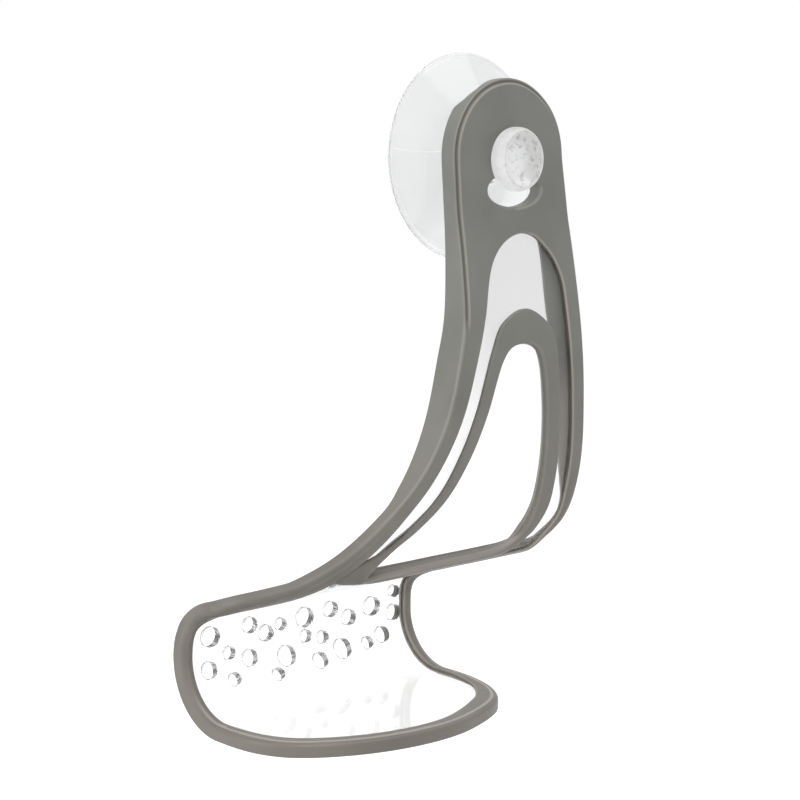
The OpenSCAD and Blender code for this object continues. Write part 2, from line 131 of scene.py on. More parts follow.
class Profile:
    """The sheet's profile as a function of the length s along it: n ahead of the wall, z up, slope h."""
    def __init__(self):
        self.runs = []
        n, z, h, s = SHEET_FORWARD, HEAD_R, 0.0, 0.0
        for run, turn in RUNS:
            self.runs.append((s, n, z, h, run, turn))
            n, z, h = self.step(n, z, h, run, turn, 1.0)
            s += run
        self.total = s
        self.starts = [q[0] for q in self.runs]
        self.table_s = np.linspace(0, s, 8000)
        self.table_z = self.at(self.table_s)[1]

    @staticmethod
    def step(n, z, h, run, turn, f):
        """The place after the share f of a run that starts at n and z with the slope h."""
        if turn == 0:
            return n - f * run * np.sin(h * RAD), z - f * run * np.cos(h * RAD), h + 0 * f
        r = run / (turn * RAD)
        g = h + f * turn
        return n + r * (np.cos(g * RAD) - np.cos(h * RAD)), z - r * (np.sin(g * RAD) - np.sin(h * RAD)), g

    def at(self, s):
        """n, z and h at lengths s along the sheet."""
        s = np.asarray(s, float)
        n, z, h = np.zeros_like(s), np.zeros_like(s), np.zeros_like(s)
        which = np.clip(np.searchsorted(self.starts, s, "right") - 1, 0, None)
        for k, (s0, n0, z0, h0, run, turn) in enumerate(self.runs):
            m = which == k
            if m.any():
                n[m], z[m], h[m] = self.step(n0, z0, h0, run, turn, (s[m] - s0) / run)
        return n, z, h

    def s_of_z(self, z):
        """The length along the sheet at a height above the level floor."""
        falling = self.table_s < self.starts[-1]
        return np.interp(-np.asarray(z, float), -self.table_z[falling], self.table_s[falling])

    def point(self, x, t, off):
        """Point at x, at t = minus the length along the sheet, off ahead of its front face."""
        n, z, h = self.at(-np.asarray(t, float))
        return np.stack([x, -(n + off * np.cos(h * RAD)), z - off * np.sin(h * RAD)], -1)


PROFILE = Profile()
CURL_START_S, CURL_END_S, LIP_S, BACK_TOP_S, BEND_S, FLOOR_S = PROFILE.starts[5:]
CURL_DROP = -float(PROFILE.at([CURL_START_S])[1][0])
LIP_Z = float(PROFILE.at([LIP_S])[1][0])
# Where the outlines' left side ends, on the bend, and where their right corner starts, on the back wall
LEFT_END, CORNER_START = -BEND_S - 6, -BACK_TOP_S - 3.5


# Outlines
def catmull(p, closed, steps=10):
    """Points along a smooth curve through the points p."""
    p = np.asarray(p, float)
    n = len(p)
    out = []
    for i in range(n if closed else n - 1):
        if closed:
            a, b, c, d = p[(i - 1) % n], p[i], p[(i + 1) % n], p[(i + 2) % n]
        else:
            a, b, c, d = p[max(i - 1, 0)], p[i], p[i + 1], p[min(i + 2, n - 1)]
        for k in range(steps):
            f = k / steps
            out.append(0.5 * (2 * b + (c - a) * f + (2 * a - 5 * b + 4 * c - d) * f * f
                              + (3 * b - a - 3 * c + d) * f ** 3))
    if not closed:
        out.append(p[-1])
    return np.array(out)


def left_of(v):
    """The unit vector square to v, on its left."""
    v = np.array([-v[1], v[0]])
    return v / np.linalg.norm(v)


def moved_in(p, d, closed=False):
    """The points p, each moved by its own distance in d to the left of their curve."""
    p = np.asarray(p, float)
    n = len(p)
    out = []
    for i in range(n):
        if closed:
            v = p[(i + 1) % n] - p[(i - 1) % n]
        else:
            v = p[min(i + 1, n - 1)] - p[max(i - 1, 0)]
        out.append(p[i] + d[i] * left_of(v))
    return np.array(out)


def places(shares):
    """Outline points as x and z."""
    return np.array([[q[0] * TRAY_LEFT, -q[1] * CURL_DROP] for q in shares])


def unrolled(xz):
    """Places on the plate or the back wall, from x and z, as x and minus the length along the sheet."""
    xz = np.asarray(xz, float)
    return np.stack([xz[:, 0], -PROFILE.s_of_z(xz[:, 1])], 1)


def resampled(p, step):
    """A closed outline with points at equal steps."""
    p = np.vstack([p, p[:1]])
    keep = np.concatenate([[True], np.linalg.norm(np.diff(p, axis=0), axis=1) > 1e-6])
    p = p[keep]
    d = np.concatenate([[0], np.cumsum(np.linalg.norm(np.diff(p, axis=0), axis=1))])
    n = max(8, int(round(d[-1] / step)))
    t = np.linspace(0, d[-1], n, endpoint=False)
    return np.stack([np.interp(t, d, p[:, k]) for k in (0, 1)], 1)


def rounded(p, passes):
    """A closed outline, smoothed."""
    for _ in range(passes):
        p = 0.5 * p + 0.25 * (np.roll(p, 1, 0) + np.roll(p, -1, 0))
    return p


def widths(shares, column=2):
    """The trim's widths along an outline."""
    return np.array([q[column] * TRIM_W for q in shares])


def on_floor(p):
    """Places on the tray's floor, from x and depth, as x and minus the length along the sheet."""
    return np.stack([p[:, 0], -(FLOOR_S + p[:, 1])], 1)


tray_w = TRAY_LEFT - TRAY_RIGHT
right_pts, left_pts = places(RIGHT_EDGE), places(LEFT_EDGE)
tray_pts = np.array([[q[0] * tray_w - TRAY_LEFT, q[1] * TRAY_DEPTH] for q in TRAY_EDGE])


def outer_outline():
    """The trim's outer edge: up the right side, over the head, down the left side and round the tray."""
    head = np.array([[HEAD_R * math.cos(a), HEAD_R * math.sin(a)] for a in np.linspace(0, math.pi, 60)])
    right = catmull(right_pts, False)
    right = right[right[:, 1] > LIP_Z + 0.3]
    lip_end = np.array([[right[0][0] - 1.2, LIP_Z]])
    centre = np.array([END_FILLET - TRAY_RIGHT, LIP_Z - END_FILLET])
    fillet = centre + END_FILLET * np.array([[math.cos(a), math.sin(a)]
                                             for a in np.linspace(math.pi, math.pi / 2, 12)])
    p = np.vstack([unrolled(lip_end), unrolled(right), unrolled(head), unrolled(catmull(left_pts, False)),
                   [[-TRAY_LEFT, LEFT_END]], on_floor(catmull(tray_pts, False)),
                   [[-TRAY_RIGHT, CORNER_START]], unrolled(fillet)])
    return rounded(resampled(p, OUTLINE_STEP), 4)


def inner_outline(right, arch, left, tray, left_w, corner_w):
    """The trim's inner edge: up the right side, over the arch, down the left side and round the tray."""
    sides = catmull(np.vstack([right, arch[::-1], left]), False)
    sides = sides[(sides[:, 1] > -CURL_DROP - 3.4) | (sides[:, 0] < -60)]
    x = -TRAY_RIGHT
    corner = np.array([[x - corner_w, CORNER_START], [x - corner_w + 0.5, -BACK_TOP_S + 0.6],
                       [x - corner_w + 2.3, -LIP_S - 0.6], [x + 2.5, -CURL_END_S - 0.6],
                       [x + 8.5, -CURL_END_S + 0.3]])
    p = np.vstack([unrolled(sides), [[-TRAY_LEFT + left_w, LEFT_END]],
                   on_floor(catmull(tray, False)), corner])
    return rounded(resampled(p, OUTLINE_STEP), 4)


OUTER = outer_outline()
# Above this height the trim's inner edge is the arch, below it the two sides
arch_foot = -0.42 * CURL_DROP
right_in, left_in = moved_in(right_pts, widths(RIGHT_EDGE)), moved_in(left_pts, widths(LEFT_EDGE))
INNER = inner_outline(right_in[right_in[:, 1] < arch_foot], places(ARCH), left_in[left_in[:, 1] < arch_foot],
                      moved_in(tray_pts, -widths(TRAY_EDGE)), widths(LEFT_EDGE)[-1], 3.7)
left_back = moved_in(left_pts, np.full(len(left_pts), BACK_W))
right_low = moved_in(right_pts, np.full(len(right_pts), LOW_BACK_W))
right_low = right_low[right_low[:, 1] < -0.94 * CURL_DROP]
INNER_BACK = inner_outline(np.vstack([right_low, places(RIGHT_BACK)]), places(ARCH_BACK),
                           left_back[left_back[:, 1] < arch_foot - 6],
                           moved_in(tray_pts, np.full(len(tray_pts), -BACK_W)), BACK_W, 3.0)

window_pts = places(WINDOW)


def window_outline(p):
    """A closed outline round the window through the points p, as x and minus the length along the sheet."""
    return rounded(resampled(unrolled(catmull(p, True)), OUTLINE_STEP), 2)


HOLE = window_outline(window_pts)
HOLE_TRIM = window_outline(moved_in(window_pts, -widths(WINDOW), True))
HOLE_BACK = window_outline(moved_in(window_pts, -widths(WINDOW, 3), True))


def circle(cx, cy, r, step):
    """Points on a circle, about a step apart."""
    n = max(24, int(2 * math.pi * r / step))
    return np.array([[cx + r * math.cos(a), cy + r * math.sin(a)]
                     for a in np.linspace(0, 2 * math.pi, n, endpoint=False)])


def keyhole(grow=0.0):
    """The slot round the neck with the oval entry below it, widened by grow."""
    r, ex, ez = NECK_D / 2 + SLOT_GAP + grow, ENTRY_W / 2 + grow, ENTRY_H / 2 + grow
    top = [[r * math.cos(a), r * math.sin(a)] for a in np.linspace(0, math.pi, 24)]
    a0 = math.acos((-r - ENTRY_SHIFT) / ex)
    a1 = 2 * math.pi + math.acos((r - ENTRY_SHIFT) / ex)
    low = [[ENTRY_SHIFT + ex * math.cos(a), ez * math.sin(a) - LIFT] for a in np.linspace(a0, a1, 60)]
    return rounded(resampled(unrolled(np.array(top + low)), 0.45), 3)


def distance(p, loop):
    """Distances of points from a closed outline."""
    a, b = loop, np.roll(loop, -1, 0)
    ab = b - a
    ll = (ab ** 2).sum(1)
    out = np.empty(len(p))
    for k in range(0, len(p), CHUNK):
        q = p[k:k + CHUNK, None, :]
        t = np.clip(((q - a) * ab).sum(2) / ll, 0, 1)
        d = q - (a + t[..., None] * ab)
        out[k:k + CHUNK] = np.sqrt((d ** 2).sum(2).min(1))
    return out


def inside(p, loop):
    """Which points lie inside a closed outline."""
    a, b = loop, np.roll(loop, -1, 0)
    out = np.empty(len(p), bool)
    for k in range(0, len(p), CHUNK):
        x, y = p[k:k + CHUNK, 0:1], p[k:k + CHUNK, 1:2]
        cross = (a[:, 1] > y) != (b[:, 1] > y)
        with np.errstate(divide="ignore", invalid="ignore"):
            xs = a[:, 0] + (y - a[:, 1]) * (b[:, 0] - a[:, 0]) / (b[:, 1] - a[:, 1])
        out[k:k + CHUNK] = (np.where(cross, xs > x, False).sum(1) % 2) == 1
    return out


def offset(loop, d):
    """A closed outline that runs anticlockwise, moved in by d."""
    v = np.roll(loop, -1, 0) - np.roll(loop, 1, 0)
    v /= np.linalg.norm(v, axis=1)[:, None]
    return loop + d * np.stack([-v[:, 1], v[:, 0]], 1)


def in_region(p, outer, holes):
    """Which points lie inside the outer outline and outside the holes."""
    m = inside(p, outer)
    for h in holes:
        m &= ~inside(p, h)
    return m


def surface(outer, holes, outer_rings, hole_rings, grid):
    """Points and triangles of a region, with rows of points along its edges at the rings' distances, and
    the point numbers of its outlines, the outer one first."""
    loops, rings = [outer] + holes, [outer_rings] + hole_rings
    pts, edges, first = [], [], []
    n = 0
    for loop in loops:
        first.append(n)
        edges += [(n + i, n + (i + 1) % len(loop)) for i in range(len(loop))]
        pts.append(loop)
        n += len(loop)
    extra = []
    for k, loop in enumerate(loops):
        for d in rings[k]:
            q = offset(loop, d if k == 0 else -d)
            q = q[in_region(q, outer, holes)]
            own = distance(q, loop)
            ok = own > d - RING_SLACK
            for j, other in enumerate(loops):
                if j != k and len(q):
                    ok &= distance(q, other) > own * (1 + TIE if j > k else 1 - TIE)
            extra.append(q[ok])
    if len(grid):
        g = grid[in_region(grid, outer, holes)]
        for k, loop in enumerate(loops):
            g = g[distance(g, loop) > (rings[k][-1] if rings[k] else 0) + GRID_GAP]
        extra.append(g)
    allp = np.vstack(pts + [e for e in extra if len(e)])
    verts, _, faces, orig, _, _ = delaunay_2d_cdt([Vector(q) for q in allp], edges, [], 0, 1e-5)
    v = np.array([[q.x, q.y] for q in verts])
    f = np.array([t for t in faces if len(t) == 3])
    c = v[f].mean(1)
    area = np.cross(v[f[:, 1]] - v[f[:, 0]], v[f[:, 2]] - v[f[:, 0]])
    f = f[in_region(c, outer, holes) & (np.abs(area) > 1e-7)]
    where = {}
    for i, o in enumerate(orig):
        for q in o:
            where[q] = i
    ids = [[where[first[k] + i] for i in range(len(loop))] for k, loop in enumerate(loops)]
    return v, f, ids


def grid_points(x0, x1, end, dx, rows):
    """Points over the sheet down to a length along it, every other row shifted by half a step."""
    xs = np.arange(x0, x1, dx)
    rows = [s for s in rows if s <= end]
    return np.array([[x + (dx / 2 if i % 2 else 0), -s] for i, s in enumerate(rows) for x in xs])


def profile_rows(flat, bent):
    """Lengths along the sheet for rows of points: close together on the tight bends."""
    out, q = [], 0.5
    while q < PROFILE.total - 0.5:
        out.append(q)
        run, turn = [r[-2:] for r in PROFILE.runs if r[0] <= q][-1]
        q += flat if abs(turn) < 10 else min(flat, max(bent, run / abs(turn) * 3.5))
    return out


class Build:
    """Vertices and faces of one piece."""
    def __init__(self):
        self.v, self.f, self.mat, self.tone, self.n = [], [], [], [], 0

    def add(self, v, f, tone=0.0):
        """Adds points and faces, with a value of painted light and shade for the trim's colour. Gives the
        number of the first point.
        """
        self.v.append(np.asarray(v, float))
        self.tone.append(np.zeros(len(v)) + tone)
        base = self.n
        self.n += len(v)
        self.f += [tuple(int(i) + base for i in t) for t in f]
        self.mat += [0] * len(f)
        return base

    def wall(self, top, rows, bottom, out=True, mat=0):
        """Quads from one closed row of vertex numbers, by rows of points, to another."""
        prev = list(top)
        for r in rows:
            base = self.add(r, [])
            now = [base + i for i in range(len(r))]
            self.quads(prev, now, out, mat)
            prev = now
        self.quads(prev, list(bottom), out, mat)

    def quads(self, a, b, out, mat):
        """Quads between two closed rows of vertex numbers, facing out or in."""
        n = len(a)
        for i in range(n):
            j = (i + 1) % n
            q = (a[i], b[i], b[j], a[j]) if out else (a[i], a[j], b[j], b[i])
            self.f.append(q)
            self.mat.append(mat)

    def object(self, name, mats, sharp):
        """The Blender object, in metres. Its edges are sharp above an angle in degrees."""
        me = bpy.data.meshes.new(name)
        me.from_pydata((np.vstack(self.v) * MM).tolist(), [], self.f)
        me.polygons.foreach_set("material_index", self.mat)
        me.validate()
        me.update()
        # The painted light and shade goes to the mesh as an attribute that the trim's material reads
        me.attributes.new("tone", "FLOAT", "POINT").data.foreach_set("value", np.concatenate(self.tone))
        for m in mats:
            me.materials.append(m)
        me.polygons.foreach_set("use_smooth", [True] * len(me.polygons))
        me.set_sharp_from_angle(angle=sharp * RAD)
        o = bpy.data.objects.new(name, me)
        bpy.context.scene.collection.objects.link(o)
        return o


def round_edge(d, r, low, high):
    """Height of a rounded edge at a distance d from the outline, from low at the outline to high at r."""
    t = np.clip(d / r, 0, 1)
    return low + (high - low) * np.sqrt(np.clip(1 - (1 - t) ** 2, 0, 1))


def smoothstep(x, a, b):
    """A smooth rise from 0 at a to 1 at b."""
    t = np.clip((x - a) / (b - a), 0, 1)
    return t * t * (3 - 2 * t)


# Materials. The trim has a colour of painted shade for its grooves and dark lines, and one of painted light
# for its ridges and highlights
TRIM_IOR, CLEAR_IOR = 1.48, 1.46
PAINTED_SHADE, PAINTED_LIGHT = (0.09, 0.072, 0.055), (0.33, 0.3, 0.27)
WHITE = (1, 1, 1, 1)


def material(name):
    """A material with nothing but its output node yet, with its nodes and that output."""
    m = bpy.data.materials.new(name)
    m.use_nodes = True
    nt = m.node_tree
    nt.nodes.clear()
    return m, nt, nt.nodes.new("ShaderNodeOutputMaterial")


def node(nt, kind, **values):
    """A node with values for its inputs or settings."""
    n = nt.nodes.new(kind)
    for k, v in values.items():
        if k in n.inputs:
            n.inputs[k].default_value = v
        else:
            setattr(n, k, v)
    return n


def feed(nt, value, socket):
    """Links an output to a socket, or gives the socket a plain number or colour."""
    if isinstance(value, bpy.types.NodeSocket):
        nt.links.new(value, socket)
    elif isinstance(value, tuple):
        socket.default_value = (*value, 1)
    else:
        socket.default_value = value


def ramp(nt, source, stops):
    """The colour that a source gives by a row of stops, each a place and a colour."""
    r = nt.nodes.new("ShaderNodeValToRGB")
    e = r.color_ramp.elements
    while len(e) > 1:
        e.remove(e[0])
    e[0].position, e[0].color = stops[0][0], (*stops[0][1], 1)
    for p, c in stops[1:]:
        q = e.new(p)
        q.color = (*c, 1)
    nt.links.new(source, r.inputs["Fac"])
    return r.outputs["Color"]


def grey_ramp(nt, source, stops):
    """A ramp whose colours are shades of grey, each a place and a number."""
    return ramp(nt, source, [(place, (grey,) * 3) for place, grey in stops])


def mixed(nt, factor, a, b, blend="MIX"):
    """Colour a mixed with b by a factor, each of them an output or a plain value."""
    m = node(nt, "ShaderNodeMix", data_type="RGBA", blend_type=blend)
    feed(nt, factor, m.inputs["Factor"])
    feed(nt, a, m.inputs["A"])
    feed(nt, b, m.inputs["B"])
    return m.outputs["Result"]


def mixed_shader(nt, factor, a, b):
    """The shader node a mixed with b by a factor, which is an output or a plain number."""
    m = node(nt, "ShaderNodeMixShader")
    feed(nt, factor, m.inputs["Fac"])
    nt.links.new(a.outputs[0], m.inputs[1])
    nt.links.new(b.outputs[0], m.inputs[2])
    return m


def math_result(nt, operation, a, b, clamp=False):
    """The result of two values, each an output or a plain number."""
    m = node(nt, "ShaderNodeMath", operation=operation, use_clamp=clamp)
    feed(nt, a, m.inputs[0])
    feed(nt, b, m.inputs[1])
    return m.outputs[0]


def object_places(nt, *textures):
    """Lays textures by the object's own coordinates. Gives a node with the coordinates apart."""
    source = node(nt, "ShaderNodeTexCoord")
    apart = node(nt, "ShaderNodeSeparateXYZ")
    for t in (*textures, apart):
        nt.links.new(source.outputs["Object"], t.inputs["Vector"])
    return apart


def height_factor(nt, apart, low, high):
    """A factor that rises from 0 at the height low to 1 at the height high, in metres."""
    f = node(nt, "ShaderNodeMapRange", **{"From Min": low, "From Max": high})
    nt.links.new(apart.outputs["Z"], f.inputs["Value"])
    return f.outputs[0]


def bumps(nt, *layers):
    """The normal after bumps laid one on the other, each by its source, strength and depth in metres."""
    normal = None
    for source, strength, depth in layers:
        bump = node(nt, "ShaderNodeBump", Strength=strength, Distance=depth)
        nt.links.new(source, bump.inputs["Height"])
        if normal:
            nt.links.new(normal, bump.inputs["Normal"])
        normal = bump.outputs["Normal"]
    return normal


def wedge_fan(nt, apart, wedges):
    """Soft wedges of light and shade about the axis of a turned piece."""
    turn = node(nt, "ShaderNodeCombineXYZ")
    nt.links.new(apart.outputs["X"], turn.inputs["X"])
    nt.links.new(apart.outputs["Z"], turn.inputs["Y"])
    angle = node(nt, "ShaderNodeTexGradient", gradient_type="RADIAL")
    nt.links.new(turn.outputs[0], angle.inputs["Vector"])
    return grey_ramp(nt, angle.outputs["Fac"], wedges)


def rubber(name, base, low_base):
    """Soft grey trim: browner low down, with painted shade in its grooves and painted highlights
    on its ridges.
    """
    m, nt, out = material(name)
    broad = node(nt, "ShaderNodeTexNoise", Scale=38.0, Detail=3.0, Roughness=0.5)
    fine = node(nt, "ShaderNodeTexNoise", Scale=900.0, Detail=4.0, Roughness=0.6)
    speck = node(nt, "ShaderNodeTexVoronoi", Scale=320.0)
    apart = object_places(nt, broad, fine, speck)
    color = mixed(nt, height_factor(nt, apart, -0.14, -0.04), low_base, base)
    cloud = grey_ramp(nt, broad.outputs["Fac"], [(0.35, 0.87), (0.65, 1.05)])
    color = mixed(nt, 1.0, color, cloud, "MULTIPLY")
    # A value at each point mixes in painted shade where it is below 0 and painted light where it is above 0
    shading_fac = node(nt, "ShaderNodeAttribute", attribute_name="tone").outputs["Fac"]
    color = mixed(nt, math_result(nt, "MULTIPLY", shading_fac, -1.0, clamp=True), color, PAINTED_SHADE)
    color = mixed(nt, math_result(nt, "MULTIPLY", shading_fac, 1.0, clamp=True), color, PAINTED_LIGHT)
    rough = grey_ramp(nt, fine.outputs["Fac"], [(0.3, 0.4), (0.7, 0.52)])
    normal = bumps(nt, (fine.outputs["Fac"], 0.12, 0.00004), (speck.outputs["Distance"], 0.05, 0.00006))
    shader = node(nt, "ShaderNodeBsdfPrincipled",
                  **{"IOR": TRIM_IOR, "Sheen Weight": 0.06, "Sheen Roughness": 0.5})
    nt.links.new(color, shader.inputs["Base Color"])
    nt.links.new(rough, shader.inputs["Roughness"])
    nt.links.new(normal, shader.inputs["Normal"])
    nt.links.new(shader.outputs[0], out.inputs["Surface"])
    return m


def clear(name, tint, rough, haze, wave, solid=0.0, speck=0.0, upper=1.0, wedges=None):
    """A clear vinyl: a refracting body with slow ripples of the moulding, and with shares of milky haze
    and solid white. Upper is a painted shade on what lies above the window's top."""
    m, nt, out = material(name)
    slow = node(nt, "ShaderNodeTexNoise", Scale=55.0, Detail=2.0, Roughness=0.5)
    fine = node(nt, "ShaderNodeTexNoise", Scale=620.0, Detail=3.0, Roughness=0.55)
    dots = node(nt, "ShaderNodeTexNoise", Scale=420.0, Detail=6.0, Roughness=0.75)
    apart = object_places(nt, slow, fine, dots)
    cloud = ramp(nt, slow.outputs["Fac"], [(0.3, tuple(c * 0.975 for c in tint)), (0.7, tint)])
    dot = grey_ramp(nt, dots.outputs["Fac"], [(0.52, 1), (0.62, 1 - speck)])
    color = mixed(nt, 1.0, cloud, dot, "MULTIPLY")
    # Painted shade, darker above the window's top
    shade = mixed(nt, height_factor(nt, apart, -0.075, -0.05), (1, 1, 1), (upper,) * 3)
    color = mixed(nt, 1.0, color, shade, "MULTIPLY")
    if wedges:
        color = mixed(nt, 1.0, color, wedge_fan(nt, apart, wedges), "MULTIPLY")
    polish = grey_ramp(nt, fine.outputs["Fac"], [(0.3, rough * 0.6), (0.75, rough * 1.5)])
    normal = bumps(nt, (slow.outputs["Fac"], wave, 0.0003), (fine.outputs["Fac"], wave * 0.4, 0.00005))
    glass = node(nt, "ShaderNodeBsdfPrincipled", **{"Transmission Weight": 1.0, "IOR": CLEAR_IOR})
    nt.links.new(color, glass.inputs["Base Color"])
    nt.links.new(polish, glass.inputs["Roughness"])
    nt.links.new(normal, glass.inputs["Normal"])
    milk = node(nt, "ShaderNodeBsdfTranslucent")
    nt.links.new(color, milk.inputs["Color"])
    white = node(nt, "ShaderNodeBsdfDiffuse")
    nt.links.new(color, white.inputs["Color"])
    body = mixed_shader(nt, solid, mixed_shader(nt, haze, glass, milk), white)
    # Lamps shine through it with little loss
    shadow = node(nt, "ShaderNodeBsdfTransparent", Color=(0.93, 0.93, 0.93, 1))
    rays = node(nt, "ShaderNodeLightPath")
    both = mixed_shader(nt, rays.outputs["Is Shadow Ray"], body, shadow)
    nt.links.new(both.outputs[0], out.inputs["Surface"])
    return m


# Shares of a full turn, from the left side round by the bottom, right and top, and the brightness there:
# painted wedges of light and shade from reflections on the cup
WEDGES = [(0.0, 0.96), (0.08, 0.93), (0.17, 0.97), (0.3, 0.93), (0.5, 0.97), (0.68, 0.9), (0.745, 0.93),
          (0.75, 1.0), (0.84, 1.0), (0.86, 0.95), (0.95, 0.98), (1.0, 0.96)]
TRIM = rubber("soft_trim", (0.167, 0.17, 0.153), (0.16, 0.144, 0.124))
CLEAR = clear("clear_vinyl", (0.94, 0.941, 0.943), rough=0.03, haze=0.04, wave=0.05, upper=0.84)
# The drain holes' walls are a darker grey: painted shade for the dark look of the sheet's cut edges
SHADED_CUT = clear("clear_cut_edge_shaded", (0.5, 0.51, 0.52), rough=0.1, haze=0.08, wave=0.3)
MILKY = clear("milky_vinyl", (0.93, 0.935, 0.94), rough=0.16, haze=0.24, wave=0.2, wedges=WEDGES)
KNOB = clear("knob_vinyl", (0.985, 0.986, 0.988), rough=0.06, haze=0.3, wave=0.2, solid=0.28, speck=0.1)
FACE = clear("knob_face", (0.97, 0.97, 0.97), rough=0.12, haze=0.22, wave=0.6, solid=0.24, speck=0.35)


# The soft trims: first the keyhole, and the sheet's own edge there and round the outside
KEY, KEY_EDGE, OUTER_EDGE = keyhole(), keyhole(KEY_WALL), offset(OUTER, EDGE_WALL)
NO_GRID = np.zeros((0, 2))


def corner_rows(b, top, bottom, shares):
    """Rows of points between two rows of vertices of a piece."""
    a, c = np.vstack(b.v)[top], np.vstack(b.v)[bottom]
    return [a + (c - a) * q for q in shares]


def band(d, start, end):
    """1 between two distances, with soft edges."""
    return smoothstep(d, start - 0.2, start) * (1 - smoothstep(d, end, end + 0.2))


def layer(b, outline, holes, height, forward, grid, dark=None, pale=0.0):
    """A plain face of a piece at one height over the sheet's front, with painted shade along the outline
    numbered dark and painted light, paler, low on the right leg. Gives the vertex numbers of its outlines."""
    near = [[SHADE_LINE_W] if k == dark else [] for k in range(len(holes) + 1)]
    v, f, ids = surface(outline, holes, near[0], near[1:], grid)
    # Painted light low on the right leg, and painted shade along the outline numbered dark
    low_right = smoothstep(-v[:, 1], 85, 105) * (v[:, 0] > LEG_X)
    tone = pale * low_right
    if dark is not None:
        tone[ids[dark]] = low_right[ids[dark]] - 1
    base = b.add(PROFILE.point(v[:, 0], v[:, 1], height), f if forward else f[:, ::-1], tone=tone)
    return [[base + i for i in row] for row in ids]


def trim_face(v):
    """Heights of the outer trim's front at its points, and its painted light and shade."""
    x, s, z = v[:, 0], -v[:, 1], PROFILE.at(-v[:, 1])[1]
    # Distances from the outer edge, the inner edge and the keyhole
    do, di, dk = distance(v, OUTER), distance(v, INNER), distance(v, KEY)
    # From the head's top down its left side the face stands up behind a second, lower ridge
    left = smoothstep(np.arctan2(np.maximum(z, 0), x), 0.5, 1.1)
    step = smoothstep(z, -54, -46) * (s < CURL_START_S) * left
    bead = smoothstep(s, CURL_START_S - 30, CURL_START_S)
    floor_part = smoothstep(s, BEND_S + 8, FLOOR_S + 2)
    plain = round_edge(do, 1.0, 0.1, TRIM_FRONT)
    double = round_edge(do, 0.5, -0.1, 0.42) - 0.12 * smoothstep(do, 0.5, 1.3)
    double += round_edge(do - 1.3, 0.65, 0, TRIM_FRONT - 0.3)
    crown = round_edge(do, 2.4, -0.7, TRIM_FRONT + 0.12) - 0.3 * smoothstep(do, 2.4, 7.5)
    crown -= 0.6 * floor_part * smoothstep(do, 0, 1.2)
    top = (1 - bead) * (step * double + (1 - step) * plain) + bead * crown
    inner = round_edge(di, 0.6, 0.6, TRIM_FRONT + 0.05) - 0.25 * smoothstep(-z, 95, 110)
    key = round_edge(dk, 1.1, 0.1, TRIM_FRONT + 0.02)
    top = np.minimum(top, inner + 0.6 * smoothstep(di, 0.6, 3))
    top = np.minimum(top, key + 0.4 * smoothstep(dk, 1.1, 3))
    # Painted light and shade: highlights and a shaded groove on the double ridge, highlights along the plain
    # left edge, on the bead's crown, along the inner edge and beside the keyhole's entry, and, last, painted
    # shade on the inner outline itself
    tone = step * (0.6 * band(do, 1.6, 1.95) - 0.55 * band(do, 0.7, 1.3) + 0.35 * band(do, 0.2, 0.45))
    tone += (1 - step) * (1 - bead) * (x < 0) * 0.25 * (1 - smoothstep(do, 0.15, 0.35))
    tone += bead * band(do, 1.5, 2.1) * (0.15 + 0.75 * floor_part)
    tone += (1 - smoothstep(di, 0.4, 0.65)) * np.where(x > LEG_X, 0.8, 0.35)
    tone += 0.4 * band(dk, 0.5, 1.0) * (x > 2) * (z < -9)
    rim = di < 0.02
    tone[rim] = (-0.7 * (1 - smoothstep(-z, 95, 112) * (x > 0)))[rim]
    return top, tone


def trim_back(w):
    """Points of the outer trim's back: flat behind the sheet, with skirts on the plate's two sides."""
    x, s, z = w[:, 0], -w[:, 1], PROFILE.at(-w[:, 1])[1]
    # Distances from the outer edge, the inner edge and the keyhole
    eo, ei, ek = distance(w, OUTER), distance(w, INNER_BACK), distance(w, KEY)
    # Above the skirts' ends, near the head's top, the outer edge is rounder
    soft = np.interp(z, [15.5, 17.5, 20, 21, 22.8], [0.5, 1.5, 2.8, 2.3, 1.2])
    edge = np.minimum(np.minimum(round_edge(eo, soft, -soft, 0), round_edge(ei, 0.3, -0.3, 0)),
                      round_edge(ek, 0.4, -0.4, 0))
    low = PROFILE.point(x, w[:, 1], BACK - edge)
    rear = SKIRT_FORWARD + np.clip(z - 14.5, 0, 5) * 0.9
    rim = 0.55 - np.minimum(round_edge(eo, 0.55, 0, 0.55), round_edge(SKIRT_T - eo, 0.5, 0.05, 0.55))
    skirt = (s < CURL_START_S) & (eo < SKIRT_T) & (-low[:, 1] > rear + 0.05)
    skirt_end = np.stack([x, -(rear + rim), z], 1)
    # Low down the skirts fade out where the sheet itself comes back to their rear
    reach = np.where(z > -60, 1, smoothstep(-low[:, 1] - rear, 0.05, 3.0))[:, None]
    low[skirt] += ((skirt_end - low) * reach)[skirt]
    return low


